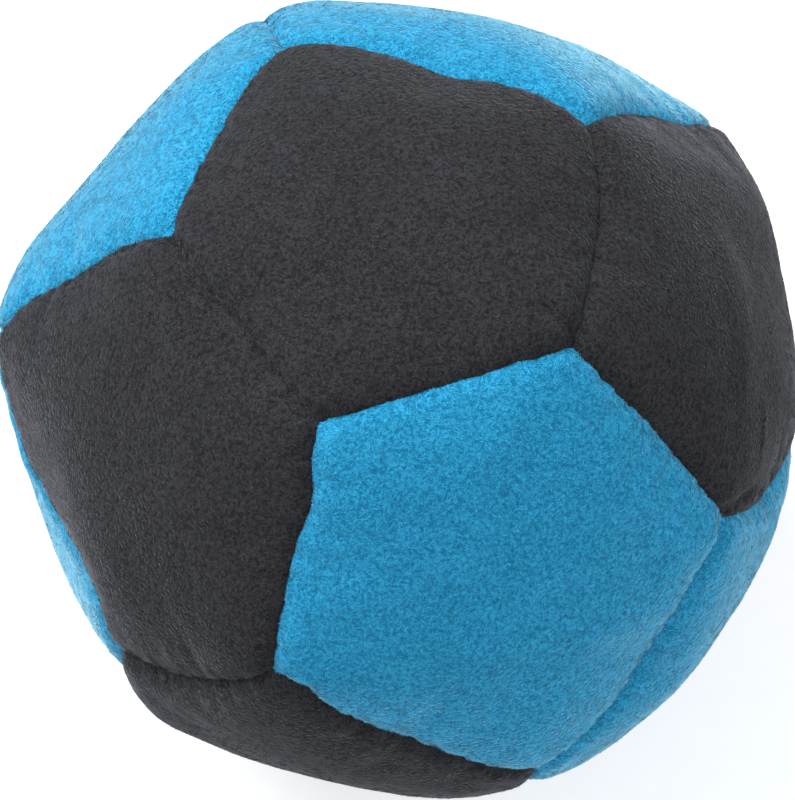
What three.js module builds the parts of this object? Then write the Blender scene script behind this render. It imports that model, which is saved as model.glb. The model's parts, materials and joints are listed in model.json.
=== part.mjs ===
// A juggling ball: twelve five-sided panels of synthetic suede, sewn inside out with their seam
// allowances turned in, and filled with millet seed.
//
// Millimetres, +Z up. The origin is the middle of the flat patch that the ball rests on.
// The front is -Y and +X is to the right.
//
// The panels lie like the faces of a dodecahedron. The ball's centre and a panel's five seams bound
// a pyramid, and each panel, with its turned-in allowances, stays inside its own pyramid.

import * as THREE from 'three';
import { mergeGeometries, mergeVertices } from 'three/addons/utils/BufferGeometryUtils.js';

// ---------- Driving dimensions ----------

const cornerRadius = 33.2; // from the ball's centre to a corner where three panels meet
const crownRadius = 32; // from the ball's centre to the middle of a panel
const sink = 1.9; // how far the base panel's crown is pressed flat by what the ball rests on
const shoulderRise = 0.8; // how far the skin beside a seam stands out past the seam's own line
const seamBow = 0.022; // how much further out the middle of a seam lies than a straight line, as a share
const frontAzimuth = - 74; // degrees, where the upper front panel faces

const suedeThickness = 0.9;
const rollDepth = 1.6; // below the skin, where a panel's rolled edge becomes its allowance
const allowanceDepth = 4.6; // below the skin, where the allowance's cut edge lies
const edgeShare = 0.9665; // how far from crown to seam plane a panel reaches, which leaves the thread room
const allowanceShare = 0.9115; // the same, for the allowance's inner side

const threadRadius = 0.2;
const threadDepth = 2.6; // below the skin, between the two allowances
const threadInset = 0.09; // the share of a seam that the thread leaves free at each corner

const fillClearance = 0.35; // between the filling and the suede
const fillGroove = 0.87; // the share at which the filling drops away below the allowances
const fillShares = [ 0.4, 0.79 ]; // from crown to seam, where the filling's profile has its points

// The skin's profile, as shares from crown to seam, each with a depth where it leaves the skin.
const innerShares = [ 0.45, 0.8 ];
const shoulder = [[ 0.95, 0.75 ], [ 0.91, 0.25 ], [ 0.83, 0 ]];
const outerShares = [ 0.6, 0.3 ];
const innerRollRise = 0.2; // how far above the rolled edge the inner side turns down
const innerRollLean = 0.02; // how much nearer the crown it turns down, as a share

const sidesOfPanel = 5;
const stepsPerSide = 4;
const stepsPerThread = 5;
const sidesOfThread = 6;

// How far hand sewing left each corner from its even place. Each ring's corners go up in azimuth.
const cornerShifts = {
	top: [[ - 2, - 1, 0.5 ], [ 0, - 3, 0 ], [ - 2, 0, - 0.5 ], [ 3, - 1.5, 1.5 ], [ 0.5, 0.5, 0 ]],
	upper: [[ - 0.5, 1.5, 2 ], [ 1, 1.5, 1.5 ], [ 0, 0, 0.5 ], [ 0.5, 4, 2.5 ], [ - 0.5, 1, 1.5 ]],
	lower: [[ - 0.5, 0, - 2.5 ], [ - 0.5, 0, 0 ], [ 0.5, 0, 0 ], [ 0, - 0.5, 0.5 ], [ 2.5, - 0.5, 1.5 ]],
	base: [[ 0.5, 0, 0 ], [ 0, 0.5, 0 ], [ - 0.5, 0, 0 ], [ 0, - 0.5, 0 ], [ 0.5, 0.5, 0 ]],
};

const centre = new THREE.Vector3( 0, 0, crownRadius - sink );

// ---------- Materials ----------

const suedes = {
	black: new THREE.MeshStandardMaterial( { color: 0x3a3b40, roughness: 0.95, metalness: 0 } ),
	blue: new THREE.MeshStandardMaterial( { color: 0x3c9cc4, roughness: 0.95, metalness: 0 } ),
};
const threadMaterial = new THREE.MeshStandardMaterial( { color: 0x1d1e22, roughness: 0.7, metalness: 0 } );
const milletMaterial = new THREE.MeshStandardMaterial( { color: 0xd9b56a, roughness: 0.6, metalness: 0 } );

// ---------- Corners ----------

// A dodecahedron that stands on a face has four rings of five corners, at two heights either side of
// its centre. Corners are measured from the ball's centre.
const faceHeight = cornerRadius * Math.sqrt( ( 5 + 2 * Math.sqrt( 5 ) ) / 15 );
const middleHeight = faceHeight * ( Math.sqrt( 5 ) - 2 );
const turn = 360 / sidesOfPanel;

function makeRing( height, firstAzimuth, shifts ) {

	const radius = Math.sqrt( cornerRadius ** 2 - height ** 2 );
	return shifts.map( ( shift, i ) => {

		const azimuth = THREE.MathUtils.degToRad( firstAzimuth + i * turn );
		const even = new THREE.Vector3( radius * Math.cos( azimuth ), radius * Math.sin( azimuth ), height );
		return even.add( new THREE.Vector3( ...shift ) );

	} );

}

const rings = {
	top: makeRing( faceHeight, frontAzimuth + turn / 2, cornerShifts.top ),
	upper: makeRing( middleHeight, frontAzimuth + turn / 2, cornerShifts.upper ),
	lower: makeRing( - middleHeight, frontAzimuth, cornerShifts.lower ),
	base: makeRing( - faceHeight, frontAzimuth, cornerShifts.base ),
};

// ---------- Panels ----------

// Each panel's corners go anticlockwise, seen from outside the ball.
const upperPlaces = [[ 'front', 'blue' ], [ 'right', 'black' ], [ 'back', 'blue' ],
	[ 'back_left', 'blue' ], [ 'left', 'black' ]];
const lowerPlaces = [[ 'front_right', 'blue' ], [ 'back_right', 'black' ], [ 'back', 'blue' ],
	[ 'left', 'blue' ], [ 'front_left', 'black' ]];

function before( i ) {

	return ( i + sidesOfPanel - 1 ) % sidesOfPanel;

}

function after( i ) {

	return ( i + 1 ) % sidesOfPanel;

}

function upperPanel( [ place, colour ], i ) {

	const { top, upper, lower } = rings;
	const corners = [ lower[ i ], upper[ i ], top[ i ], top[ before( i ) ], upper[ before( i ) ] ];
	return { name: `upper_${ place }`, colour, corners };

}

function lowerPanel( [ place, colour ], i ) {

	const { upper, lower, base } = rings;
	const corners = [ upper[ i ], lower[ i ], base[ i ], base[ after( i ) ], lower[ after( i ) ] ];
	return { name: `lower_${ place }`, colour, corners };

}

const panels = [
	{ name: 'top', colour: 'black', corners: rings.top },
	...upperPlaces.map( upperPanel ),
	...lowerPlaces.map( lowerPanel ),
	{ name: 'base', colour: 'black', corners: [ ...rings.base ].reverse() },
];

// ---------- Skin ----------

const cornerOrder = Object.values( rings ).flat();

// A point of a seam's line, with its skin radius as its length. Its two panels get the same numbers.
function seamPoint( from, to, along ) {

	const swapped = cornerOrder.indexOf( from ) > cornerOrder.indexOf( to );
	const [ first, last, share ] = swapped ? [ to, from, 1 - along ] : [ from, to, along ];
	const point = first.clone().lerp( last, share );
	const bow = 1 + seamBow * 4 * share * ( 1 - share );
	return point.setLength( point.length() * bow + shoulderRise );

}

// A point of a panel's skin. share runs from 0 at the crown to 1 at the seam.
function skinPoint( panel, side, along, share ) {

	const { corners } = panel;
	const rim = seamPoint( corners[ side ], corners[ after( side ) ], along );
	if ( share === 1 ) return rim;
	const crown = new THREE.Vector3();
	corners.forEach( ( corner ) => crown.add( corner ) );
	crown.divideScalar( sidesOfPanel );
	const radius = THREE.MathUtils.lerp( crownRadius, rim.length(), share ** 2 );
	return crown.lerp( rim, share ).setLength( radius );

}

// The skin point taken inwards by a depth, and kept that far above what the ball rests on.
function sunkPoint( panel, side, along, share, depth ) {

	const point = skinPoint( panel, side, along, share );
	point.setLength( point.length() - depth ).add( centre );
	point.z = Math.max( point.z, depth );
	return point;

}

// A round turned shape whose rings are carried over to a five-sided panel. Each profile point holds
// a share from crown to seam, and a depth below the skin.
function makePanelShape( panel, profile ) {

	const segments = sidesOfPanel * stepsPerSide;
	const turned = new THREE.LatheGeometry( profile.map( ( [ share, depth ] ) =>
		new THREE.Vector2( share, - depth ) ), segments );
	const position = turned.getAttribute( 'position' );
	for ( let i = 0; i < position.count; i ++ ) {

		const column = Math.floor( i / profile.length ) % segments;
		const [ share, depth ] = profile[ i % profile.length ];
		const side = Math.floor( column / stepsPerSide );
		const along = ( column % stepsPerSide ) / stepsPerSide;
		const point = sunkPoint( panel, side, along, share, depth );
		position.setXYZ( i, point.x, point.y, point.z );

	}

	turned.deleteAttribute( 'normal' );
	turned.deleteAttribute( 'uv' );
	return turned;

}

function finishShape( shape ) {

	const merged = mergeVertices( shape );
	merged.computeVertexNormals();
	return merged;

}

function makePanel( panel ) {

	// From the middle of the inner side, out and down the allowance, and back over the outer side.
	const profile = [
		[ 0, suedeThickness ],
		...innerShares.map( ( share ) => [ share, suedeThickness ] ),
		[ allowanceShare - innerRollLean, rollDepth - innerRollRise ],
		[ allowanceShare, allowanceDepth ],
		[ edgeShare, allowanceDepth ],
		[ edgeShare, rollDepth ],
		...shoulder,
		...outerShares.map( ( share ) => [ share, 0 ] ),
		[ 0, 0 ],
	];
	const mesh = new THREE.Mesh( finishShape( makePanelShape( panel, profile ) ), suedes[ panel.colour ] );
	mesh.name = `panel_${ panel.name }`;
	return mesh;

}

// ---------- Thread ----------

// Every pair of panels that shares two corners, with the seam between them.
function findSeams() {

	const seams = [];
	panels.forEach( ( panel, i ) => panels.slice( i + 1 ).forEach( ( other ) => {

		const shared = panel.corners.filter( ( corner ) => other.corners.includes( corner ) );
		if ( shared.length === 2 ) seams.push( { panel, other, ends: shared } );

	} ) );
	return seams;

}

function makeThread( { panel, other, ends } ) {

	const points = [];
	for ( let i = 0; i <= stepsPerThread; i ++ ) {

		const along = THREE.MathUtils.lerp( threadInset, 1 - threadInset, i / stepsPerThread );
		const point = seamPoint( ends[ 0 ], ends[ 1 ], along );
		points.push( point.setLength( point.length() - threadDepth ).add( centre ) );

	}

	const section = new THREE.Shape().absarc( 0, 0, threadRadius, 0, 2 * Math.PI );
	const shape = new THREE.ExtrudeGeometry( section, {
		steps: stepsPerThread,
		curveSegments: sidesOfThread,
		extrudePath: new THREE.CatmullRomCurve3( points ),
	} );
	const mesh = new THREE.Mesh( shape, threadMaterial );
	mesh.name = `thread_${ panel.name }_to_${ other.name }`;
	return mesh;

}

// ---------- Filling ----------

function makeFilling() {

	const top = suedeThickness + fillClearance;
	const bottom = allowanceDepth + fillClearance;
	const profile = [
		[ 1, bottom ],
		[ fillGroove, bottom ],
		[ fillGroove, rollDepth + fillClearance ],
		[ fillShares[ 1 ], top ],
		[ fillShares[ 0 ], top ],
		[ 0, top ],
	];
	const faces = panels.map( ( panel ) => makePanelShape( panel, profile ) );
	const mesh = new THREE.Mesh( finishShape( mergeGeometries( faces ) ), milletMaterial );
	mesh.name = 'millet_filling';
	return mesh;

}

// ---------- The ball ----------

const ball = new THREE.Group();
ball.add( ...panels.map( makePanel ) );
ball.add( ...findSeams().map( makeThread ) );
ball.add( makeFilling() );

export default ball;
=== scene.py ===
# %% [markdown]
# # A juggling ball in suede
# Twelve five-sided panels of synthetic suede are sewn together inside out, turned, filled with
# millet and closed by hand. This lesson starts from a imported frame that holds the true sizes, finds
# the seams in it, and then makes each real piece: the suede panels, the nap that stands on them, the
# thread in the seams and the grains inside.

# %% Load the frame
import json
import math
import bmesh
import bpy
import numpy as np
from mathutils import Matrix, Vector, noise
from mathutils.bvhtree import BVHTree

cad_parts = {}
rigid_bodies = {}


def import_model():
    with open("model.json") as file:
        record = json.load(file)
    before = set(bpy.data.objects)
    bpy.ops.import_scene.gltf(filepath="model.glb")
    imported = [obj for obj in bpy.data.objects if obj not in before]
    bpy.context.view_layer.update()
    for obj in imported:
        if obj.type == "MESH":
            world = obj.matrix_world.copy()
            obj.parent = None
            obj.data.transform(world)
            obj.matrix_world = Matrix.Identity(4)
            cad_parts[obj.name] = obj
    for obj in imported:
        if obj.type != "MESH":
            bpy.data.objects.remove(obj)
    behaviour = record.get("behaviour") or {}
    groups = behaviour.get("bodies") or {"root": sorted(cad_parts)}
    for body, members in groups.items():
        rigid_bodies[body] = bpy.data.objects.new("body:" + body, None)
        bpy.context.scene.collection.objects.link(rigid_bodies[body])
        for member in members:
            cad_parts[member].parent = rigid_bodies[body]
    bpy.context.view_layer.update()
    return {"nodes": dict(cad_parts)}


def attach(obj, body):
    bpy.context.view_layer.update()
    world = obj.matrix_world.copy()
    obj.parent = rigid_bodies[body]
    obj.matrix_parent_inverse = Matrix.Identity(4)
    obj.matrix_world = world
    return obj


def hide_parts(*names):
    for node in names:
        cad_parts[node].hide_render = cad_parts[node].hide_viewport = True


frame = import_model()
MM = 0.001

# %% [markdown]
# The frame says where everything is. Each seam has a straight run of thread whose ends stop short of
# the corners by a set share of the seam. Drawing the three runs at a corner on until they meet finds
# the corner, so the lesson needs no list of corners of its own.

# %% Find the corners and the seams
THREAD_INSET = 0.09  # share of a seam left free at each end of its thread
THREAD_DEPTH = 2.6 * MM  # below the skin
END_REACH = 0.3 * MM  # how near a run's end a point counts as part of that end
CORNER_REACH = 4 * MM  # how near each other the runs' ends at one corner are


def points_of(mesh):
    flat = np.empty(len(mesh.vertices) * 3)
    mesh.vertices.foreach_get("co", flat)
    return flat.reshape(-1, 3)


def thread_run(obj):
    """The two ends of a run of thread, each drawn on to its corner."""
    points = points_of(obj.data)
    middle = points.mean(0)
    axis = np.linalg.svd(points - middle, full_matrices=False)[2][0]
    along = (points - middle) @ axis
    low = points[along < along.min() + END_REACH].mean(0)
    high = points[along > along.max() - END_REACH].mean(0)
    extra = (high - low) * THREAD_INSET / (1 - 2 * THREAD_INSET)
    return low - extra, high + extra


panel_nodes = sorted(n for n in frame["nodes"] if n.startswith("panel_"))
thread_nodes = sorted(n for n in frame["nodes"] if n.startswith("thread_"))
seam_panels = {n: ["panel_" + p for p in n[len("thread_"):].split("_to_")] for n in thread_nodes}

found_corners = []  # each holds the points that found it, and the panels that meet there
seam_ends = {}
for node in thread_nodes:
    seam_ends[node] = []
    for point in thread_run(frame["nodes"][node]):
        near = [i for i, c in enumerate(found_corners)
                if np.linalg.norm(c["points"][0] - point) < CORNER_REACH]
        if not near:
            found_corners.append({"points": [], "panels": set()})
            near = [len(found_corners) - 1]
        found_corners[near[0]]["points"].append(point)
        found_corners[near[0]]["panels"].update(seam_panels[node])
        seam_ends[node].append(near[0])
corner_points = [np.mean(c["points"], axis=0) for c in found_corners]
print(len(corner_points), "corners,", len(thread_nodes), "seams,", len(panel_nodes), "panels")

# %% [markdown]
# A ball is easiest to work on from its centre. The centre comes from the best ball through all the
# corners, and from here on a corner is a vector from that centre.

# %% Find the ball's centre
def sphere_centre(points):
    """The centre of the ball that fits these points best."""
    points = np.array(points)
    sums = np.linalg.lstsq(np.c_[2 * points, np.ones(len(points))], (points**2).sum(1), rcond=None)[0]
    return sums[:3]


def lengths(vectors):
    return np.linalg.norm(vectors, axis=-1, keepdims=True)


def unit(vectors):
    return vectors / lengths(vectors)


ball_centre = np.array([0, 0, sphere_centre(corner_points)[2]])
corners = np.array(corner_points) - ball_centre
print("ball centre, mm:", (ball_centre / MM).round(2))

# %% [markdown]
# Each panel is a five-sided field. Lines from its middle to the middles of its sides cut it into
# five kites, one at each corner, and a kite takes an even square grid. A grid point is named by its
# kite and by two shares, u and v, that run from 0 at the panel's middle to 1 at a seam.

# %% Lay out the panels
SEAM_BOW = 0.022  # how far the middle of a seam stands out past a straight line, as a share


def panel_ring(node):
    """A panel's corners in order, anticlockwise as seen from outside, and the way that it faces."""
    own = [i for i, c in enumerate(found_corners) if node in c["panels"]]
    middle = unit(corners[own].mean(0))
    side_way = unit(np.cross(middle, corners[own[0]]))
    up_way = np.cross(middle, side_way)
    angles = np.arctan2(corners[own] @ up_way, corners[own] @ side_way)
    return {"corners": [own[i] for i in np.argsort(angles)], "middle": middle}


def seam_line(a, b, share):
    """Points on the seam from corner a to corner b, at the skin's height."""
    share = np.asarray(share, float)[..., None]
    point = (corners[a] * (1 - share) + corners[b] * share) * (1 + SEAM_BOW * 4 * share * (1 - share))
    return point + unit(point) * THREAD_DEPTH


def kite_points(panel, k, u, v):
    """Points of kite k on the panel's flat field."""
    ring = panel["corners"]
    before, here, after = corners[ring[k - 1]], corners[ring[k]], corners[ring[(k + 1) % 5]]
    middle = corners[ring].mean(0)
    u, v = u[..., None], v[..., None]
    one_side, other_side = (before + here) / 2, (here + after) / 2
    return (1 - u) * (1 - v) * middle + u * (1 - v) * one_side + v * (1 - u) * other_side + u * v * here


panels = {node: panel_ring(node) for node in panel_nodes}
BLUE = {"panel_upper_front", "panel_upper_back", "panel_upper_back_left", "panel_lower_front_right",
        "panel_lower_back", "panel_lower_left"}
colour_of = {node: "blue" if node in BLUE else "black" for node in panel_nodes}
print("blue panels:", len(BLUE), "black panels:", len(panels) - len(BLUE))

# %% [markdown]
# The filling pushes the panels outwards while the seams hold them back. Cloth simulation is the
# natural way to find that shape: the seams are pinned, the suede is cut a little too large, and air
# pressure stands in for the grains. A hand-filled ball isn't even, so each panel starts with a
# fullness of its own. Cloth is steadiest at the size of a person, so the ball is simulated twenty
# times too large and brought back.

# %% Make the bag that is inflated
SIM_SCALE = 20
KITE_STEPS = 10
SEAM_HOLD = 0.5 * MM  # how far inside the skin's height the simulation holds the seams
DOUBLE_REACH = 0.02 * MM  # points nearer than this, where two grids meet, become one
FULL = 0.62  # how far a panel bulges, from 0 for flat to 1 for a ball through its corners
FULLNESS = {"top": 0.6, "upper_back_left": 0.5, "upper_left": 0.5, "upper_back": 0.7, "upper_right": 0.7,
            "lower_left": 0.6, "lower_front_right": 0.7, "lower_front_left": 0.66, "base": 0.5}


def grid_faces(rows, columns, first=0, flip=False):
    i, j = np.meshgrid(np.arange(rows - 1), np.arange(columns - 1), indexing="ij")
    at = (first + i * columns + j).ravel()
    quads = np.stack([at, at + columns, at + columns + 1, at + 1], axis=1)
    return quads[:, ::-1] if flip else quads


def make_mesh(name, points, faces):
    mesh = bpy.data.meshes.new(name)
    mesh.from_pydata([tuple(p) for p in points], [], [tuple(f) for f in faces])
    mesh.update()
    return mesh


def add_object(name, data):
    obj = bpy.data.objects.new(name, data)
    bpy.context.scene.collection.objects.link(obj)
    return obj


def kept_mesh(obj):
    """The object's mesh as its modifiers leave it."""
    depsgraph = bpy.context.evaluated_depsgraph_get()
    return bpy.data.meshes.new_from_object(obj.evaluated_get(depsgraph), depsgraph=depsgraph)


def seam_radius(panel, k, u, v):
    """The skin's distance from the ball's centre at the two seams of a kite, shared out over it."""
    ring = panel["corners"]
    one = lengths(seam_line(ring[k - 1], ring[k], 0.5 + v / 2))[..., 0]
    other = lengths(seam_line(ring[k], ring[(k + 1) % 5], (1 - u) / 2))[..., 0]
    return (one * u**2 + other * v**2) / np.maximum(u**2 + v**2, 1e-9)


def bag_kite(panel, k, full, u, v):
    """One kite of the bag: flat and round mixed by fullness, and the seam's own height at the seams."""
    flat = kite_points(panel, k, u, v)
    round_radius = lengths(corners[panel["corners"]]).mean() + THREAD_DEPTH
    inner = (lengths(flat)[..., 0] + THREAD_DEPTH) * (1 - full) + round_radius * full
    near_seam = (1 - (1 - u**2) * (1 - v**2)) ** 2
    radius = seam_radius(panel, k, u, v) * near_seam + inner * (1 - near_seam) - SEAM_HOLD
    return unit(flat) * radius[..., None]


def merge_doubles(mesh, reach, closed=True):
    """Joins points closer than reach, and turns every face of a closed mesh outwards."""
    work = bmesh.new()
    work.from_mesh(mesh)
    bmesh.ops.remove_doubles(work, verts=work.verts, dist=reach)
    if closed:
        bmesh.ops.recalc_face_normals(work, faces=work.faces)
    work.to_mesh(mesh)
    work.free()


def bag_mesh():
    """All twelve panels as one closed skin, with its seam points marked."""
    share = np.linspace(0, 1, KITE_STEPS + 1)
    u, v = np.meshgrid(share, share, indexing="ij")
    kites = [(panel, k, FULLNESS.get(node[len("panel_"):], FULL))
             for node, panel in panels.items() for k in range(5)]
    points = [bag_kite(panel, k, full, u, v).reshape(-1, 3) for panel, k, full in kites]
    faces = [grid_faces(len(share), len(share), i * u.size) for i in range(len(kites))]
    mesh = make_mesh("bag", np.concatenate(points) * SIM_SCALE, np.concatenate(faces))
    held = mesh.attributes.new("held", "FLOAT", "POINT")
    at_seam = (np.maximum(u, v) > 1 - 1e-6).ravel().astype(np.float32)
    held.data.foreach_set("value", np.tile(at_seam, len(kites)))
    merge_doubles(mesh, DOUBLE_REACH * SIM_SCALE)
    return mesh


bag = add_object("bag", bag_mesh())
print("bag:", len(bag.data.vertices), "points")

# %% Inflate it
MOST_MOVE = 1.2 * MM
CLOTH = {"quality": 6, "mass": 0.25, "tension_stiffness": 12, "compression_stiffness": 12,
         "shear_stiffness": 6, "bending_stiffness": 0.4, "vertex_group_mass": "seams",
         "pin_stiffness": 1, "shrink_min": -0.02, "use_pressure": True, "uniform_pressure_force": 2}
SIM_FRAMES = 20


def inflate(obj):
    """Runs the cloth, and moves each point of obj as far as it went, up to MOST_MOVE."""
    held = np.empty(len(obj.data.vertices), np.float32)
    obj.data.attributes["held"].data.foreach_get("value", held)
    obj.vertex_groups.new(name="seams").add([int(i) for i in np.flatnonzero(held > 0.5)], 1.0, "REPLACE")
    cloth = obj.modifiers.new("cloth", "CLOTH")
    for name, value in CLOTH.items():
        setattr(cloth.settings, name, value)
    cloth.settings.effector_weights.gravity = 0
    before = points_of(obj.data)
    for step in range(1, SIM_FRAMES + 1):
        bpy.context.scene.frame_set(step)
    shaped = kept_mesh(obj)
    obj.modifiers.clear()
    bpy.context.scene.frame_set(1)
    obj.data = shaped
    move = points_of(shaped) - before
    most = MOST_MOVE * SIM_SCALE
    print("the cloth moved by", (lengths(move).mean() / MM / SIM_SCALE).round(2), "mm on average")
    move *= most / np.maximum(lengths(move), most)
    shaped.vertices.foreach_set("co", (before + move).ravel())


inflate(bag)

# %% [markdown]
# The inflated bag is still coarse. A Subdivision Surface smooths it, and a search tree over the
# result answers one question quickly: how far is the skin from the centre, looking along this way?

# %% Look up the inflated skin
BAG_SMOOTHING = 2


def smooth_bag():
    smoother = bag.modifiers.new("smooth", "SUBSURF")
    smoother.levels = smoother.render_levels = BAG_SMOOTHING
    fine = kept_mesh(bag)
    places = [Vector(p) for p in points_of(fine) / SIM_SCALE]
    bpy.data.objects.remove(bag)
    return BVHTree.FromPolygons(places, [tuple(f.vertices) for f in fine.polygons])


bag_tree = smooth_bag()


def bag_radius(ways):
    start = Vector((0, 0, 0))
    found = [bag_tree.ray_cast(start, Vector(way))[3] for way in ways.reshape(-1, 3)]
    return np.array(found, float).reshape(ways.shape[:-1])


crowns = {node: round(bag_radius(panel["middle"][None])[0] / MM, 1) for node, panel in panels.items()}
print("crowns, mm from the centre:", crowns)

# %% [markdown]
# The stitches here are about two millimetres apart, and no two are alike. Each pulls the suede in, and
# between two of them the edge swells and pushes over the seam, which gives the line between two
# colours its small scallops. The stitches get their places first, because the skin needs them.

# %% Place the stitches
STITCH_PITCH = 2.0 * MM
STITCH_JITTER = 0.25  # of the pitch
STITCH_REACH = 0.42 * MM
LEAST_PULL = 0.45  # of the strongest stitch's pull
rng = np.random.default_rng(7)


def place_stitches(node):
    a, b = sorted(seam_ends[node])
    length = np.linalg.norm(corners[a] - corners[b])
    count = round(length / STITCH_PITCH)
    places = (np.arange(count) + 0.5 + rng.uniform(-1, 1, count) * STITCH_JITTER) / count
    across = unit(np.cross(corners[a], corners[b]))
    return {"node": node, "ends": (a, b), "length": length, "at": places, "across": across,
            "pull": rng.uniform(LEAST_PULL, 1.0, count), "sway": rng.uniform(-1, 1, count)}


seams = {seam["ends"]: seam for seam in map(place_stitches, thread_nodes)}
print("stitches:", sum(len(seam["at"]) for seam in seams.values()))


def along_seam(seam, share, weights):
    """The sum of a small bump at each stitch, at these shares of the seam."""
    away = (share[..., None] - seam["at"]) * seam["length"] / STITCH_REACH
    return (np.exp(-away**2) * weights).sum(-1)


# %% [markdown]
# Hand sewing wanders, so some seams bow to one side or stand out. Each bow names its seam by the
# two panels, and says how far the line moves towards the first of them, how far it moves outwards,
# and where along the seam it is strongest, counted from the corner that a third panel shares.

# %% Bow the seams
SEAM_BOWS = [
    # towards, away from, counted from, share, width, sideways, outwards
    ("upper_back", "upper_right", "top", 0.4, 0.28, 0.7, 0.0),
    ("upper_back", "top", "upper_back_left", 0.76, 0.1, 0.3, 0.0),
    ("top", "upper_back", "upper_back_left", 0.57, 0.09, 0.7, 0.0),
    ("upper_right", "top", "upper_back", 0.45, 0.3, 0.9, 0.0),
    ("lower_left", "upper_left", "upper_back_left", 0.35, 0.28, 1.3, 0.3),
    ("upper_left", "lower_left", "lower_front_left", 0.2, 0.2, 1.1, 0.0),
    ("lower_front_left", "upper_left", "upper_front", 0.55, 0.35, 1.0, 0.0),
    ("lower_back_right", "upper_right", "upper_back", 0.5, 0.3, 0.8, 0.5),
    ("lower_front_right", "upper_right", "upper_front", 0.45, 0.32, 1.7, 0.0),
    ("lower_front_right", "upper_front", "upper_right", 0.6, 0.25, 1.6, 0.0),
    ("upper_back", "upper_back_left", "top", 0.5, 0.35, 0.0, 1.2),
    ("upper_front", "upper_left", "top", 0.28, 0.13, 0.75, 0.0),
]
BOW_REACH = 4.5 * MM
BOW_EASE = 6  # the power that brings a bow to nothing at both corners


def add_bow(towards, away, counted_from, share, width, sideways, outwards):
    one, other, third = ("panel_" + name for name in (towards, away, counted_from))
    seam = next(s for s in seams.values() if set(seam_panels[s["node"]]) == {one, other})
    if third not in found_corners[seam["ends"][0]]["panels"]:
        share = 1 - share
    side = np.sign(seam["across"] @ panels[one]["middle"])
    seam.setdefault("bows", []).append((share, width, sideways * MM * side, outwards * MM))


for bow in SEAM_BOWS:
    add_bow(*bow)


def seam_bow(seam, share):
    """How far the seam's line moves, sideways and outwards, at these shares."""
    sideways, outwards = np.zeros_like(share), np.zeros_like(share)
    for at, width, side, out_by in seam.get("bows", []):
        near = np.exp(-(((share - at) / width) ** 2))
        sideways, outwards = sideways + near * side, outwards + near * out_by
    ease = 1 - np.clip(np.abs(2 * share - 1), 0, 1) ** BOW_EASE
    return sideways * ease, outwards * ease


print("bowed seams:", sum("bows" in seam for seam in seams.values()))

# %% [markdown]
# Handling also leaves the grains uneven, so the ball bulges in one place and gives way in another.
# Each nudge moves the skin, and all that lies under it, round one place. The place is given by
# azimuth and elevation in degrees from the ball's centre, and the nudge dies away over its reach.

# %% Nudge the ball out of true
NUDGES = [
    # azimuth, elevation, reach, outwards, east, north
    (111, 51, 5.0, -1.0, 0.1, 0.7),
    (27, 54, 4.0, 0.0, -0.35, 0.5),
    (-147, 6, 7.0, 0.0, 2.0, 3.2),
    (-169, 9, 5.5, 0.0, -1.2, -1.5),
    (-108, 10, 2.5, 0.0, 0.2, 1.2),
    (-75, -15, 4.0, -0.65, 0.5, 0.3),
    (177, 49, 3.0, 0.0, -0.5, 0.0),
    (169, 16, 4.0, 0.0, 1.3, -0.3),
    (-41, 47, 4.0, 0.0, -0.4, 0.0),
    (18, 16, 6.0, 0.8, 0.0, 0.0),
    (-46, -20, 7.0, 0.5, 0.0, 0.0),
    (-137, -19, 5.0, 1.0, 0.0, 0.0),
    (31, 26, 4.0, 0.0, -0.8, 0.0),
    (-161, -6, 5.0, -0.45, 0.0, 0.0),
    (120, 33, 6.0, 0.5, 0.0, 0.0),
    (161, 16, 4.0, 0.35, 0.0, 0.0),
    (171, 11, 4.0, -0.3, 0.0, 0.0),
]


def way_to(azimuth, elevation):
    azimuth, elevation = math.radians(azimuth), math.radians(elevation)
    flat = math.cos(elevation)
    return np.array([flat * math.cos(azimuth), flat * math.sin(azimuth), math.sin(elevation)])


def nudged(points):
    radius = lengths(points)
    way = points / radius
    moved = points.copy()
    for azimuth, elevation, reach, outwards, east, north in NUDGES:
        centre = way_to(azimuth, elevation)
        east_way = way_to(azimuth + 90, 0)
        away = lengths(way - centre) * radius / (reach * MM)
        move = (outwards * centre + east * east_way + north * np.cross(centre, east_way)) * MM
        moved += np.exp(-away**2) * move
    return moved


print("nudges:", len(NUDGES))

# %% [markdown]
# The suede also has a few soft folds. Each is a line over the skin between two places, given in the
# same way. A positive height is a ridge, and a negative one is a crease.

# %% Fold the suede
FOLDS = [
    # panel, from, to, height, half width
    ("upper_right", (8, 36), (-27, 22), 0.4, 2.2),
    ("upper_right", (-37, 17), (-26, 12), -0.55, 0.55),
    ("upper_right", (-18, 21), (-25, 15), 0.2, 0.35),
    ("top", (-43, 63), (-43, 53), -0.5, 0.6),
    ("top", (-108, 60), (-130, 68), 0.22, 1.8),
    ("upper_left", (-126, 56), (-111, 50), 0.22, 1.6),
    ("upper_front", (-111, 46), (-100, 45), -0.22, 0.7),
    ("upper_front", (-90, 22), (-75, 12), 0.15, 2.2),
    ("lower_back", (95, -5), (120, -20), -0.35, 0.9),
    ("lower_back_right", (20, -12), (44, -24), 0.3, 1.6),
    ("lower_left", (170, 4), (196, -12), -0.3, 0.9),
    ("upper_back", (90, 40), (118, 22), 0.25, 1.8),
]
FOLD_EASE = 0.3  # share of a fold's length over which it fades at each end


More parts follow.
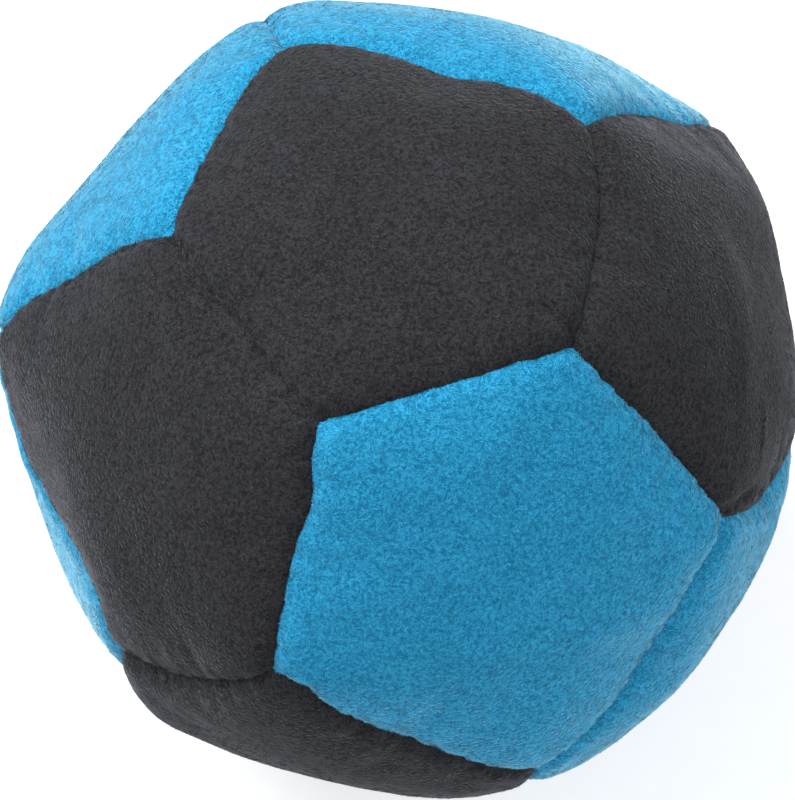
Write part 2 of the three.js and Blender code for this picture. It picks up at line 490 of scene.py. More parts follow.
def fold_height(node, way, radius):
    """How far a panel's folds lift the skin, at these ways from the centre."""
    lift = np.zeros_like(radius)
    for panel, start, end, height, half_width in FOLDS:
        if node != "panel_" + panel:
            continue
        one, other = way_to(*start), way_to(*end)
        across = unit(np.cross(one, other))
        ahead = np.cross(across, one)
        share = np.arctan2(way @ ahead, way @ one) / math.acos(one @ other)
        fade = np.clip(np.minimum(share, 1 - share) / FOLD_EASE, 0, 1)
        off = (way @ across) * radius / (half_width * MM)
        lift = lift + height * MM * np.exp(-off**2) * fade**2 * (3 - 2 * fade)
    return lift


print("folds:", len(FOLDS))

# %% [markdown]
# Now the outer skin. A point starts on the inflated bag, and takes the slow swell of uneven grains
# and the small lumps of single ones. Beside a seam it rolls over and dives to the stitches. Both
# panels of a seam use the same line and the same stitches, so they meet without a gap.

# %% Shape the outer skin
SHOULDER = 2.0 * MM  # how far from a seam the skin starts to roll over
STITCH_WIDENS = 0.18  # how much further it starts beside a stitch, as a share
CREASE = 0.55 * MM  # how deep the roll dives
STITCH_PULL = 0.16 * MM
SCALLOP = 0.14 * MM
CORNER_PIT = 0.6 * MM
RIPPLE = 0.06 * MM
RIPPLE_REACH = 3.0 * MM
RIPPLE_LEVEL = 0.4  # the pull at which a ripple is neither up nor down
SEAM_GAP = 0.015 * MM
ROLL_POWER = 2.4
ROLL_TURN = 0.9  # how far round the roll goes before the stitches stop it, 1 for upright
LUMP, LUMP_SIZE = 0.07 * MM, 2.4 * MM
SWELL, SWELL_SIZE = 0.26 * MM, 9 * MM
REST_SOFTNESS = 0.35 * MM
CLEAR_OF_REST = 20  # softnesses above the ground, where pressing it flat moves nothing


def noise_at(points, size, seed):
    shift = Vector((seed, seed * 1.7, seed * 2.3))
    values = [noise.noise(Vector(p) / size + shift) for p in points.reshape(-1, 3)]
    return np.array(values).reshape(points.shape[:-1])


def kite_seams(panel, k):
    """The two seams of kite k, each with the way that leads from it into the panel."""
    ring = panel["corners"]
    for a, b in ((ring[k - 1], ring[k]), (ring[k], ring[(k + 1) % 5])):
        seam = seams[min(a, b), max(a, b)]
        yield seam, seam["across"] * np.sign(seam["across"] @ panel["middle"])


def seam_share(seam, way):
    """Where along a seam each way from the centre passes it, from 0 to 1."""
    one, other = (unit(corners[i]) for i in seam["ends"])
    flat = way - (way @ seam["across"])[..., None] * seam["across"]
    ahead = np.cross(seam["across"], one)
    return np.arctan2(flat @ ahead, flat @ one) / math.acos(one @ other)


def seam_effect(seam, inward, point, way):
    """What one seam does to the skin: how far it rolls, drops, moves sideways and moves outwards."""
    share = seam_share(seam, way)
    off = np.maximum(point @ inward, 0)
    pulled = along_seam(seam, share, seam["pull"])
    near = np.clip(1 - off / (SHOULDER * (1 + STITCH_WIDENS * pulled)), 0, 1)
    drop = STITCH_PULL * pulled * near**2
    drop = drop + RIPPLE * (pulled - RIPPLE_LEVEL) * np.exp(-off / RIPPLE_REACH) * (1 - near)
    bow_side, bow_out = seam_bow(seam, share)
    reach = np.exp(-((off / BOW_REACH) ** 2))
    scallop = SCALLOP * along_seam(seam, share, seam["sway"]) * np.exp(-((off / SHOULDER) ** 2))
    side = scallop + bow_side * reach
    sideways = side[..., None] * seam["across"] + (SEAM_GAP * near)[..., None] * inward
    return near, drop, sideways, bow_out * reach


def skin_points(node, k, u, v):
    """The outer skin of kite k: its points, the ways to them, and how far each has rolled over."""
    panel = panels[node]
    way = unit(kite_points(panel, k, u, v))
    radius = bag_radius(way)
    point = way * radius[..., None]
    rise = noise_at(point, SWELL_SIZE, 1) * SWELL + noise_at(point, LUMP_SIZE, 2) * LUMP
    rise = rise + fold_height(node, way, radius)
    rolled, sideways = 0, 0
    for seam, inward in kite_seams(panel, k):
        near, drop, side, out_by = seam_effect(seam, inward, point, way)
        rolled = rolled + near**ROLL_POWER
        rise = rise - drop + out_by
        sideways = sideways + side
    rolled = rolled ** (1 / ROLL_POWER)
    turned = 1 - np.sqrt(1 - (ROLL_TURN * np.minimum(rolled, 1)) ** 2)
    dive = CREASE * turned / (1 - math.sqrt(1 - ROLL_TURN**2)) + CORNER_PIT * np.maximum(rolled - 1, 0)
    return nudged(point + way * (rise - dive)[..., None] + sideways), way, rolled


def settle(points):
    """Takes points to their place over the ground, and presses the base flat with a soft edge."""
    placed = points + ball_centre
    height = placed[..., 2] / REST_SOFTNESS
    pressed = REST_SOFTNESS * np.logaddexp(0, np.minimum(height, CLEAR_OF_REST))
    placed[..., 2] = np.where(height > CLEAR_OF_REST, placed[..., 2], pressed)
    return placed


# %% [markdown]
# A panel is one sheet: the outer skin, and a seam allowance turned in all round. The grid is fine
# where the skin rolls over and even elsewhere. Solidify then gives the sheet the suede's thickness
# on the inside, so the outer skin stays where it is. Two values stay on the mesh for the nap: where
# the skin shows, and how near it is to a seam.

# %% Cut and shape the panels
FIELD_STEPS = 32
ROLL_STEPS = 8
ALLOWANCE_STEPS = 4
ALLOWANCE = 3.6 * MM
SUEDE = 0.85 * MM
POINT_REACH = 0.004 * MM


def kite_shares(panel):
    """Shares for a kite's grid, close together where the skin rolls over."""
    ring = corners[panel["corners"]]
    sides = (ring + np.roll(ring, 1, axis=0)) / 2
    reach = lengths(sides - ring.mean(0)).mean()
    roll = 1 - SHOULDER / reach
    angles = np.linspace(0, math.pi / 2, ROLL_STEPS + 1)[1:]
    return np.concatenate([np.linspace(0, roll, FIELD_STEPS + 1), roll + (1 - roll) * np.sin(angles)])


def panel_sheets(node):
    """The grids of one panel: five kites of skin, and two strips of allowance for each."""
    shares = kite_shares(panels[node])
    u, v = np.meshgrid(shares, shares, indexing="ij")
    rows = np.linspace(0, ALLOWANCE, ALLOWANCE_STEPS + 1)[:, None, None]
    for k in range(5):
        skin, way, rolled = skin_points(node, k, u, v)
        yield skin, rolled, False, True
        for edge, flip in ((np.s_[-1, :], False), (np.s_[:, -1], True)):
            strip = skin[edge][None] - way[edge][None] * rows
            yield strip, np.ones(strip.shape[:2]), flip, False


def set_values(mesh, name, values):
    stored = mesh.attributes.new(name, "FLOAT", "POINT")
    stored.data.foreach_set("value", np.concatenate(values).astype(np.float32))


def panel_mesh(node):
    points, faces, shows, edges = [], [], [], []
    for grid, rolled, flip, is_skin in panel_sheets(node):
        faces.append(grid_faces(*grid.shape[:2], first=sum(map(len, points)), flip=flip))
        points.append(settle(grid).reshape(-1, 3))
        shows.append(np.full(rolled.size, float(is_skin)))
        edges.append(np.clip(rolled, 0, 1).ravel())
    mesh = make_mesh(node, np.concatenate(points), np.concatenate(faces))
    set_values(mesh, "shows", shows)
    set_values(mesh, "edge", edges)
    merge_doubles(mesh, POINT_REACH, closed=False)
    mesh.shade_smooth()
    return mesh


suede_panels = {node: add_object(node.replace("panel", "suede"), panel_mesh(node)) for node in panel_nodes}
for obj in suede_panels.values():
    thickness = obj.modifiers.new("thickness", "SOLIDIFY")
    thickness.thickness = SUEDE
    thickness.offset = -1
print("points in each panel:", [len(obj.data.vertices) for obj in suede_panels.values()])

# %% [markdown]
# Synthetic suede is a dense felt with a short raised nap. From close by, its colour breaks up into
# light tips and dark pits a fraction of a millimetre apart, and the dark of the pits is painted
# shade. Larger patches of painted shade stand for the light that brushed nap turns away. Noise at
# those two sizes, read from Object coordinates, colours the sheet, and the smaller one also bumps
# it. Sheen gives the pale edge that cloth shows where it turns away.

# %% Dye the suede, with painted shade in its pits and patches
# The pit colour is painted shade: the suede's colour as it looks deep in the nap.
SUEDE_LOOKS = {
    "black": {"shaded_pit": (0.009, 0.009, 0.010), "tip": (0.032, 0.033, 0.038), "sheen": (0.86, 0.91, 1.0),
              "sheen_weight": 0.23},
    "blue": {"shaded_pit": (0.004, 0.12, 0.24), "tip": (0.025, 0.29, 0.51), "sheen": (0.55, 0.92, 1.0),
             "sheen_weight": 0.85},
}
CLUMP_SIZE = 0.32 * MM
PATCH_SIZE = 5 * MM
SUEDE_FINISH = {"Roughness": 0.9, "Sheen Roughness": 0.3, "Specular IOR Level": 0.08}


def new_material(name):
    material = bpy.data.materials.new(name)
    material.use_nodes = True
    return material, material.node_tree, material.node_tree.nodes["Principled BSDF"]


def set_sockets(node, values):
    for name, value in values.items():
        node.inputs[name].default_value = value


def noise_field(tree, size, detail=2.0, rough=0.6):
    where = tree.nodes.new("ShaderNodeTexCoord")
    field = tree.nodes.new("ShaderNodeTexNoise")
    set_sockets(field, {"Scale": 1 / size, "Detail": detail, "Roughness": rough})
    tree.links.new(where.outputs["Object"], field.inputs["Vector"])
    return field.outputs["Fac"]


def ranged(tree, value, low, high, to_low=0.0, to_high=1.0):
    node = tree.nodes.new("ShaderNodeMapRange")
    set_sockets(node, {"From Min": low, "From Max": high, "To Min": to_low, "To Max": to_high})
    tree.links.new(value, node.inputs["Value"])
    return node.outputs["Result"]


def mixed(tree, share, one, other):
    """A colour from one to other. Each is a colour or a socket."""
    node = tree.nodes.new("ShaderNodeMix")
    node.data_type = "RGBA"
    colours = [socket for socket in node.inputs if socket.type == "RGBA"]
    for socket, value in zip(colours, (one, other)):
        if isinstance(value, bpy.types.NodeSocket):
            tree.links.new(value, socket)
        else:
            socket.default_value = (*value, 1)
    tree.links.new(share, node.inputs[0])
    return next(socket for socket in node.outputs if socket.type == "RGBA")


def bumped(tree, shader, height, strength, distance):
    bump = tree.nodes.new("ShaderNodeBump")
    set_sockets(bump, {"Strength": strength, "Distance": distance})
    tree.links.new(height, bump.inputs["Height"])
    tree.links.new(bump.outputs["Normal"], shader.inputs["Normal"])


def finish_suede(shader, look):
    set_sockets(shader, SUEDE_FINISH)
    set_sockets(shader, {"Sheen Weight": look["sheen_weight"], "Sheen Tint": (*look["sheen"], 1)})


def suede_material(name, look):
    material, tree, shader = new_material(name)
    # Painted shade: where the fine noise is low the colour darkens to the pit colour, and the bump sinks
    # there too.
    clump = ranged(tree, noise_field(tree, CLUMP_SIZE), 0.36, 0.64)
    # Painted shade: broad patches pull the colour part way to the pit colour.
    patch_shade = ranged(tree, noise_field(tree, PATCH_SIZE, detail=3.0), 0.3, 0.7, 0.35, 0.75)
    dye_and_pit_shade = mixed(tree, clump, look["shaded_pit"], look["tip"])
    tree.links.new(mixed(tree, patch_shade, look["shaded_pit"], dye_and_pit_shade), shader.inputs["Base Color"])
    bumped(tree, shader, clump, 0.7, 0.12 * MM)
    finish_suede(shader, look)
    return material


for colour, look in SUEDE_LOOKS.items():
    look["skin"] = suede_material(colour + "_suede", look)
for node, obj in suede_panels.items():
    obj.data.materials.append(SUEDE_LOOKS[colour_of[node]]["skin"])
print("suede:", list(SUEDE_LOOKS))

# %% [markdown]
# Geometry Nodes make all that repeats here: the nap, the stitches and the grains. This small helper
# builds a tree with named inputs and links nodes by the names of their sockets. A second helper runs
# a tree on an object, and keeps the result as a plain mesh, because instances don't survive export.

# %% Helpers for Geometry Nodes
class Tree:
    def __init__(self, name, inputs):
        self.tree = bpy.data.node_groups.new(name, "GeometryNodeTree")
        face = self.tree.interface
        face.new_socket("Geometry", in_out="INPUT", socket_type="NodeSocketGeometry")
        self.ids = {}
        for label, (kind, value) in inputs.items():
            socket = face.new_socket(label, in_out="INPUT", socket_type="NodeSocket" + kind)
            if value is not None:
                socket.default_value = value
            self.ids[label] = socket.identifier
        face.new_socket("Geometry", in_out="OUTPUT", socket_type="NodeSocketGeometry")
        self.start = self.tree.nodes.new("NodeGroupInput")
        self.end = self.tree.nodes.new("NodeGroupOutput")

    def given(self, label):
        return self.start.outputs[label]

    def put(self, socket, value):
        if isinstance(value, bpy.types.NodeSocket):
            self.tree.links.new(value, socket)
        else:
            socket.default_value = value

    def add(self, kind, settings=(), inputs=(), out=None):
        """Adds a node. Its inputs are named, or numbered from 0, and it gives back one output socket."""
        node = self.tree.nodes.new(kind)
        for name, value in dict(settings).items():
            setattr(node, name, value)
        for key, value in dict(inputs).items():
            shown = [s for s in node.inputs if s.enabled]
            self.put(shown[key] if isinstance(key, int) else next(s for s in shown if s.name == key), value)
        shown = [s for s in node.outputs if s.enabled]
        return shown[0] if out is None else next(s for s in shown if s.name == out)

    def maths(self, operation, *values):
        return self.add("ShaderNodeMath", {"operation": operation}, dict(enumerate(values)))

    def random(self, low, high, seed):
        return self.add("FunctionNodeRandomValue", {"data_type": "FLOAT"},
                        {"Min": low, "Max": high, "Seed": seed})

    def attribute(self, name, kind="FLOAT"):
        return self.add("GeometryNodeInputNamedAttribute", {"data_type": kind}, {"Name": name},
                        out="Attribute")

    def above(self, value, limit):
        return self.add("FunctionNodeCompare", {"data_type": "FLOAT", "operation": "GREATER_THAN"},
                        {"A": value, "B": limit})

    def noise(self, size, detail, out):
        """Noise at a place, with features of this size in metres."""
        place = self.add("GeometryNodeInputPosition")
        return self.add("ShaderNodeTexNoise", {}, {"Vector": place, "Scale": self.maths("DIVIDE", 1.0, size),
                                                   "Detail": detail}, out=out)

    def euler(self, x, y, z):
        angles = self.add("ShaderNodeCombineXYZ", {}, {0: x, 1: y, 2: z})
        return self.add("FunctionNodeEulerToRotation", {}, {0: angles})

    def finish(self, socket):
        self.tree.links.new(socket, self.end.inputs["Geometry"])


def run_tree(source, tree, name, values):
    """Runs the tree on a mesh with these inputs, and gives back an object with the plain result."""
    obj = add_object(name, source)
    modifier = obj.modifiers.new("tree", "NODES")
    modifier.node_group = tree.tree
    for label, value in values.items():
        modifier[tree.ids[label]] = value
    mesh = kept_mesh(obj)
    obj.modifiers.clear()
    obj.data = mesh
    while mesh.materials and mesh.materials[0] is None:
        mesh.materials.pop(index=0)
    return obj


# %% [markdown]
# The nap is hundreds of thousands of short tufts, so a tuft is a single narrow sliver. Distribute
# Points on Faces scatters them, and each turns along a slow noise, which makes the curls that
# brushing leaves, and leans well over. At a seam the tufts are longer and lean a little less, which
# softens the crease. A tuft takes one of four shades, by clump and by chance.

# %% Build the tree for the nap
TUFT_LENGTH = 0.27 * MM
TUFT_WIDTH = 0.065 * MM
NAP_DENSITY = 58e6  # tufts to a square metre
SHADE_STEPS = (0.37, 0.45, 0.6)  # where one shade gives way to the next, on the noise's scale


def tuft_mesh():
    """One tuft, rising along z, with its face towards minus x, which faces up once it leans over."""
    half = TUFT_WIDTH / 2
    return make_mesh("tuft", [(0, half, 0), (0, -half, 0), (0.06 * TUFT_LENGTH, 0, TUFT_LENGTH)], [(0, 1, 2)])


tuft = add_object("tuft", tuft_mesh())


def leaning(t, normal_turn, edge):
    """Turns a tuft along the curl of the nap, and leans it over, less so at a seam."""
    curl = t.noise(t.given("Curl size"), 1.0, out="Color")
    centred = t.add("ShaderNodeVectorMath", {"operation": "SUBTRACT"}, {0: curl, 1: (0.5, 0.5, 0.5)})
    turned = t.add("FunctionNodeAlignRotationToVector", {"axis": "X", "pivot_axis": "Z"},
                   {"Rotation": normal_turn, "Vector": centred})
    spread = t.maths("MULTIPLY", t.random(-1.0, 1.0, 9), t.given("Lean spread"))
    upright = t.maths("MULTIPLY", edge, t.given("Upright at seams"))
    lean = t.maths("SUBTRACT", t.maths("ADD", t.given("Lean"), spread), upright)
    turn = t.euler(t.random(-0.5, 0.5, 11), lean, t.random(-0.9, 0.9, 5))
    return t.add("FunctionNodeRotateRotation", {"rotation_space": "LOCAL"}, {0: turned, 1: turn})


def shaded(t, geometry):
    """Sets one of four materials on each tuft by the shade stored on it."""
    shade = t.attribute("shade")
    last = t.add("GeometryNodeSetMaterial", {}, {"Geometry": geometry, "Material": t.given("Shade 1")})
    for i, limit in enumerate(SHADE_STEPS):
        last = t.add("GeometryNodeSetMaterial", {}, {"Geometry": last, "Selection": t.above(shade, limit),
                                                     "Material": t.given(f"Shade {i + 2}")})
    return last


def nap_tree():
    t = Tree("suede_nap", {"Density": ("Float", 1e6), "Lean": ("Float", 1.34), "Lean spread": ("Float", 0.2),
                           "Upright at seams": ("Float", 0.15), "Longer at seams": ("Float", 0.3),
                           "Curl size": ("Float", 0.9 * MM), "Clump size": ("Float", CLUMP_SIZE),
                           "Seed": ("Int", 1),
                           **{f"Shade {i}": ("Material", None) for i in range(1, 5)}})
    scatter = {"Mesh": t.given("Geometry"), "Selection": t.above(t.attribute("shows"), 0.5),
               "Density": t.given("Density"), "Seed": t.given("Seed")}
    points = t.add("GeometryNodeDistributePointsOnFaces", {"distribute_method": "RANDOM"}, scatter)
    rotation = next(s for s in points.node.outputs if s.name == "Rotation")
    skin_way = next(s for s in points.node.outputs if s.name == "Normal")
    points = t.add("GeometryNodeStoreNamedAttribute", {"data_type": "FLOAT_VECTOR", "domain": "POINT"},
                   {"Geometry": points, "Name": "skin_way", "Value": skin_way})
    edge = t.attribute("edge")
    size = t.maths("MULTIPLY_ADD", edge, t.given("Longer at seams"), t.random(0.6, 1.3, 3))
    one = t.add("GeometryNodeObjectInfo", {}, {"Object": tuft}, out="Geometry")
    grown = t.add("GeometryNodeInstanceOnPoints", {}, {"Points": points, "Instance": one,
                                                       "Rotation": leaning(t, rotation, edge), "Scale": size})
    shade = t.maths("ADD", t.noise(t.given("Clump size"), 2.0, out="Fac"), t.random(-0.16, 0.16, 99))
    kept = t.add("GeometryNodeStoreNamedAttribute", {"data_type": "FLOAT", "domain": "INSTANCE"},
                 {"Geometry": grown, "Name": "shade", "Value": shade})
    t.finish(shaded(t, t.add("GeometryNodeRealizeInstances", {}, {"Geometry": kept})))
    return t


nap = nap_tree()
print("nap tree:", len(nap.tree.nodes), "nodes")

# %% [markdown]
# The four shades of a colour run from near its pit colour to past its tip colour, so the darker
# tufts carry the same painted shade as the pits. They are plain colours with sheen, because the
# variety comes from the mix of tufts, and a mesh with this many loose pieces can't be given a good
# UV map for a painted one.

# %% Grow the nap
SHADE_SHARES = (0.15, 0.65, 0.95, 1.25)
SEAM_EASE = 0.1  # how much the nap hides a seam's roll: its light comes partly from a plain ball


def tuft_material(name, look, share):
    material, _, shader = new_material(name)
    # Painted shade: shares below one take a tuft towards the pit colour.
    shaded_pit, tip = np.array(look["shaded_pit"]), np.array(look["tip"])
    set_sockets(shader, {"Base Color": (*(shaded_pit + (tip - shaded_pit) * share), 1)})
    finish_suede(shader, look)
    return material


for colour, look in SUEDE_LOOKS.items():
    look["tufts"] = [tuft_material(f"{colour}_nap_{i + 1}", look, share)
                     for i, share in enumerate(SHADE_SHARES)]


def shade_like_skin(mesh):
    """Gives each tuft the light of the skin under it, so the nap shades as one soft surface."""
    ways, edge = (np.empty(len(mesh.vertices) * n) for n in (3, 1))
    mesh.attributes["skin_way"].data.foreach_get("vector", ways)
    mesh.attributes["edge"].data.foreach_get("value", edge)
    outward = unit(points_of(mesh) - ball_centre)
    mesh.shade_smooth()
    eased = ways.reshape(-1, 3) + outward * edge[:, None] * SEAM_EASE
    mesh.normals_split_custom_set_from_vertices(unit(eased))


def above_ground(mesh):
    """Presses the tufts under the ball flat on what it rests on."""
    points = points_of(mesh)
    points[:, 2] = np.maximum(points[:, 2], 0)
    mesh.vertices.foreach_set("co", points.ravel())


def grow_nap(i, node):
    shades = {f"Shade {j + 1}": m for j, m in enumerate(SUEDE_LOOKS[colour_of[node]]["tufts"])}
    source = suede_panels[node].data.copy()
    grown = run_tree(source, nap, node.replace("panel", "nap"),
                     {"Density": NAP_DENSITY, "Seed": i + 1, **shades})
    shade_like_skin(grown.data)
    above_ground(grown.data)
    return grown


suede_naps = {node: grow_nap(i, node) for i, node in enumerate(panel_nodes)}
bpy.data.objects.remove(tuft)
print("tufts on each panel:", [len(obj.data.polygons) for obj in suede_naps.values()])

# %% [markdown]
# The seams are sewn with a waxed thread. Each stitch passes through both allowances and lies on
# their inner sides, so a stitch is a small closed loop of thread. Points along a seam hold the way
# along it and the way out, and the tree puts a loop on each point, turned to match.

# %% Sew the seams
THREAD = 0.13 * MM  # the thread's radius
THREAD_DYES = (0.006, 0.006, 0.008), (0.022, 0.023, 0.028)
LOOP_WAY = ((-1, -0.7), (-0.75, -1), (0.75, -1), (1, -0.7), (1, 0.7), (0.75, 1), (-0.75, 1), (-1, 0.7))
LOOP_SIDES = 5


def loop_mesh():
    """A stitch: a tube round a flat rounded loop, with x along the seam and y across it."""
    half = np.array([STITCH_PITCH / 2, SUEDE + SEAM_GAP + THREAD * 1.2])
    way = np.array(LOOP_WAY) * half
    out = unit(way / half)
    turns = np.arange(LOOP_SIDES) * 2 * math.pi / LOOP_SIDES
    points = [(*(p + o * THREAD * math.cos(a)), THREAD * math.sin(a))
              for p, o in zip(way, out) for a in turns]
    n, m = len(way), LOOP_SIDES
    faces = [(i * m + j, (i + 1) % n * m + j, (i + 1) % n * m + (j + 1) % m, i * m + (j + 1) % m)
             for i in range(n) for j in range(m)]
    mesh = make_mesh("loop", points, faces)
    merge_doubles(mesh, THREAD * 0.01)
    return mesh


def stitch_points():
    """A mesh of loose points, one for each stitch, with the ways along its seam and out."""
    places, alongs, outs = [], [], []
    for (a, b), seam in seams.items():
        share = seam["at"]
        sideways, outwards = seam_bow(seam, share)
        line = seam_line(a, b, share)
        line = line + unit(line) * (outwards - THREAD_DEPTH)[:, None] + sideways[:, None] * seam["across"]
        places.append(line)
        outs.append(unit(line))
        alongs.append(unit(np.cross(seam["across"], line)))
    mesh = make_mesh("stitches", nudged(np.concatenate(places)) + ball_centre, [])
    for name, values in (("along", alongs), ("outward", outs)):
        mesh.attributes.new(name, "FLOAT_VECTOR", "POINT").data.foreach_set(
            "vector", np.concatenate(values).astype(np.float32).ravel())
    return mesh


def stitch_tree(loop):
    t = Tree("seam_stitches", {"Loop size": ("Float", 1.0), "Material": ("Material", None)})
    vectors = [t.attribute(name, "FLOAT_VECTOR") for name in ("along", "outward")]
    turn = t.add("FunctionNodeAlignRotationToVector", {"axis": "X"}, {"Vector": vectors[0]})
    turn = t.add("FunctionNodeAlignRotationToVector", {"axis": "Z", "pivot_axis": "X"},
                 {"Rotation": turn, "Vector": vectors[1]})
    points = t.add("GeometryNodeMeshToPoints", {}, {"Mesh": t.given("Geometry")})
    one = t.add("GeometryNodeObjectInfo", {}, {"Object": loop}, out="Geometry")
    sewn = t.add("GeometryNodeInstanceOnPoints", {}, {"Points": points, "Instance": one, "Rotation": turn,
                                                      "Scale": t.given("Loop size")})
    real = t.add("GeometryNodeRealizeInstances", {}, {"Geometry": sewn})
    t.finish(t.add("GeometryNodeSetMaterial", {}, {"Geometry": real, "Material": t.given("Material")}))
    return t


def thread_material():
    material, tree, shader = new_material("waxed_thread")
    ply = ranged(tree, noise_field(tree, 0.12 * MM), 0.35, 0.65)
    tree.links.new(mixed(tree, ply, *THREAD_DYES), shader.inputs["Base Color"])
    bumped(tree, shader, ply, 0.5, 0.03 * MM)
    set_sockets(shader, {"Roughness": 0.45, "Coat Weight": 0.2, "Coat Roughness": 0.4})
    return material


loop = add_object("loop", loop_mesh())
stitches = run_tree(stitch_points(), stitch_tree(loop), "seam_stitches",
                    {"Loop size": 1.0, "Material": thread_material()})
stitches.data.shade_smooth()
bpy.data.objects.remove(loop)
print("stitch faces:", len(stitches.data.polygons))

# %% [markdown]
# Millet fills the ball right up to the suede, and into the grooves beside the allowances. Several
# thousand loose grains would be a great many faces, and only the outer ones could be seen. So a
# closed core takes the shape of the whole filling, and grains lie side by side over all of it.

# %% Fill the ball with millet
GRAIN = 1.0 * MM  # a grain's radius
GRAIN_GAP = 0.2 * MM
HUSK_DYES = (0.40, 0.20, 0.045), (0.80, 0.55, 0.20)
CORE_SHARE = 0.78  # of a kite, from where its grid is closer together
CORE_STEPS = 9
EDGE_STEPS = 5
GROOVE_HALF = 2.3 * MM  # how far each side of a seam the grains leave free for the allowances
GROOVE_DEPTH = 6.0 * MM
GROOVE_WALL = 0.5 * MM


def core_kite(node, k, u, v):
    """One kite of the core, a grain's radius below the suede, with a groove at each seam."""
    way = unit(kite_points(panels[node], k, u, v))
    radius = bag_radius(way)
    point = way * radius[..., None]
    depth, sideways, outwards = 0, 0, 0
    for seam, inward in kite_seams(panels[node], k):
        off = point @ inward
        share = seam_share(seam, way)
        side, out_by = seam_bow(seam, share)
        reach = np.exp(-((np.maximum(off, 0) / BOW_REACH) ** 2))
        sideways = sideways + (side * reach)[..., None] * seam["across"]
        outwards = outwards + out_by * reach
        depth = np.maximum(depth, np.clip((GROOVE_HALF + GROOVE_WALL - off) / GROOVE_WALL, 0, 1))
    skin = SUEDE + GRAIN + GRAIN_GAP + SWELL / 2
    inset = skin + (GROOVE_DEPTH - skin) * depth - outwards
    return nudged(point - way * inset[..., None] + sideways)


def core_mesh():
    shares = np.concatenate([np.linspace(0, CORE_SHARE, CORE_STEPS + 1),
                             np.linspace(CORE_SHARE, 1, EDGE_STEPS + 1)[1:]])
    u, v = np.meshgrid(shares, shares, indexing="ij")
    grids = [core_kite(node, k, u, v) for node in panels for k in range(5)]
    points = np.concatenate([grid.reshape(-1, 3) for grid in grids])
    lift = np.array([0, 0, SUEDE + GRAIN + GRAIN_GAP])
    points = settle(points - lift) + lift
    faces = [grid_faces(*u.shape, first=i * u.size) for i in range(len(grids))]
    mesh = make_mesh("core", points, np.concatenate(faces))
    merge_doubles(mesh, DOUBLE_REACH)
    return mesh


def grain_mesh():
    """A millet grain: a slightly flat ball, six-sided and three rings high."""
    work = bmesh.new()
    bmesh.ops.create_uvsphere(work, u_segments=6, v_segments=4, radius=GRAIN)
    bmesh.ops.scale(work, vec=(1.0, 0.95, 0.88), verts=work.verts)
    mesh = bpy.data.meshes.new("grain")
    work.to_mesh(mesh)
    work.free()
    return mesh


def millet_tree(grain):
    t = Tree("millet_grains", {"Spacing": ("Float", 2 * GRAIN), "Density": ("Float", 4e5), "Seed": ("Int", 4),
                               "Material": ("Material", None)})
    points = t.add("GeometryNodeDistributePointsOnFaces", {"distribute_method": "POISSON"},
                   {"Mesh": t.given("Geometry"), "Distance Min": t.given("Spacing"),
                    "Density Max": t.given("Density"), "Seed": t.given("Seed")})
    turn = t.euler(t.random(0.0, 6.0, 1), t.random(0.0, 6.0, 2), t.random(0.0, 6.0, 3))
    one = t.add("GeometryNodeObjectInfo", {}, {"Object": grain}, out="Geometry")
    poured = t.add("GeometryNodeInstanceOnPoints", {}, {"Points": points, "Instance": one, "Rotation": turn,
                                                        "Scale": t.random(0.85, 1.0, 6)})
    both = t.tree.nodes.new("GeometryNodeJoinGeometry")
    t.tree.links.new(t.given("Geometry"), both.inputs[0])
    t.tree.links.new(poured, both.inputs[0])
    real = t.add("GeometryNodeRealizeInstances", {}, {"Geometry": both.outputs[0]})
    t.finish(t.add("GeometryNodeSetMaterial", {}, {"Geometry": real, "Material": t.given("Material")}))
    return t


def millet_material():
    material, tree, shader = new_material("millet")
    husk = ranged(tree, noise_field(tree, 2.2 * MM, detail=3.0), 0.3, 0.7)
    tree.links.new(mixed(tree, husk, *HUSK_DYES), shader.inputs["Base Color"])
    bumped(tree, shader, ranged(tree, noise_field(tree, 0.3 * MM), 0.3, 0.7), 0.3, 0.05 * MM)
    set_sockets(shader, {"Roughness": 0.42, "Specular IOR Level": 0.4})
    return material


grain = add_object("grain", grain_mesh())
millet = run_tree(core_mesh(), millet_tree(grain), "millet_grains", {"Material": millet_material()})
millet.data.shade_smooth()
bpy.data.objects.remove(grain)
print("millet faces:", len(millet.data.polygons))

# %% [markdown]
# Every piece now hangs from what moves it, and the parts of the frame that it replaces are hidden.
# Nothing on a ball moves by itself, so all of it rides on the one body. The panels are sheets of
# cloth, stretched over the grains, and each was cut as a five-sided piece with its allowance all round.

for node in panel_nodes:
    for piece in (suede_panels[node], suede_naps[node]):
        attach(piece, "root")
    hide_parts(node)
for piece, replaced, slot in ((stitches, thread_nodes, "sewing_thread"),
                              (millet, ["millet_filling"], "millet")):
    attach(piece, "root")
    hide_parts(*replaced)

# %% [markdown]
# The camera looks down on the ball from the front, from far enough away to keep the shape true, and
# is turned a little, so the ball leans. A long lens fills the picture with it.

# %% Add the camera
LOOK_DOWN = math.radians(57)
CAMERA_TURN = math.radians(-4.2)
CAMERA_AWAY = 0.45
LENS = 244  # millimetres, on a sensor of the usual width
AIM_SHIFT = (-0.21 * MM, 0.25 * MM)  # to the right and up, from the ball's centre


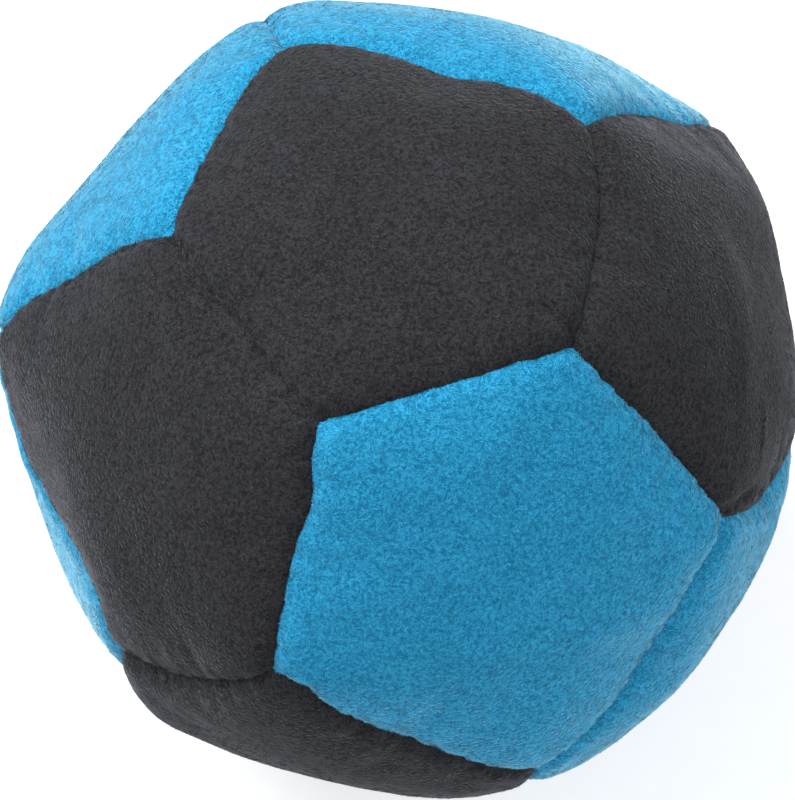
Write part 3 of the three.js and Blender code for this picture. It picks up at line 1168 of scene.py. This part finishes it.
def add_camera():
    data = bpy.data.cameras.new("camera")
    camera = add_object("camera", data)
    back = Vector((0, -math.cos(LOOK_DOWN), math.sin(LOOK_DOWN)))
    turn = Matrix.Rotation(CAMERA_TURN, 3, back) @ back.to_track_quat("Z", "Y").to_matrix()
    aim = Vector(ball_centre) + turn @ Vector((*AIM_SHIFT, 0))
    camera.matrix_world = Matrix.Translation(aim + back * CAMERA_AWAY) @ turn.to_4x4()
    data.lens = LENS
    data.clip_start = 0.01
    data.clip_end = 10
    bpy.context.scene.camera = camera


add_camera()
print("camera:", LENS, "mm lens,", CAMERA_AWAY, "m away")

# %% [markdown]
# The light is that of a small white studio: pale from every side, stronger from above, from the left
# and behind, with a weak light at the right, on a white sweep that glows enough to lift the shadow.
# The Standard view transform keeps the dyes as they are.

# %% Light the ball
LIGHTS = [
    # name, size, power, place
    ("key_light", 0.6, 11, (-0.36, 0.25, 0.68)),
    ("side_light", 0.5, 1.8, (0.75, -0.15, 0.3)),
]
WORLD_STRENGTH = 0.9
FLOOR_GLOW = 0.72
FLOOR_HALF = 5
FLOOR_DYES = (0.34, 0.345, 0.35), (0.37, 0.37, 0.375)


def add_light(name, size, power, place):
    data = bpy.data.lights.new(name, "AREA")
    data.shape = "DISK"
    data.size = size
    data.energy = power
    light = add_object(name, data)
    light.location = place
    light.rotation_mode = "QUATERNION"
    light.rotation_quaternion = (Vector(place) - Vector(ball_centre)).to_track_quat("Z", "Y")


def add_floor():
    h = FLOOR_HALF
    square = make_mesh("floor", [(-h, -h, 0), (h, -h, 0), (h, h, 0), (-h, h, 0)], [(0, 1, 2, 3)])
    floor = add_object("floor", square)
    material, tree, shader = new_material("white_sweep")
    fleck = ranged(tree, noise_field(tree, 2 * MM), 0.3, 0.7)
    tree.links.new(mixed(tree, fleck, *FLOOR_DYES), shader.inputs["Base Color"])
    set_sockets(shader, {"Roughness": 0.9, "Emission Color": (0.96, 0.98, 1, 1),
                         "Emission Strength": FLOOR_GLOW})
    floor.data.materials.append(material)


def add_world():
    world = bpy.data.worlds.new("studio")
    world.use_nodes = True
    set_sockets(world.node_tree.nodes["Background"], {"Color": (1, 1, 1, 1), "Strength": WORLD_STRENGTH})
    bpy.context.scene.world = world


for light in LIGHTS:
    add_light(*light)
add_floor()
add_world()
bpy.context.scene.view_settings.view_transform = "Standard"
print("lights:", [light[0] for light in LIGHTS])
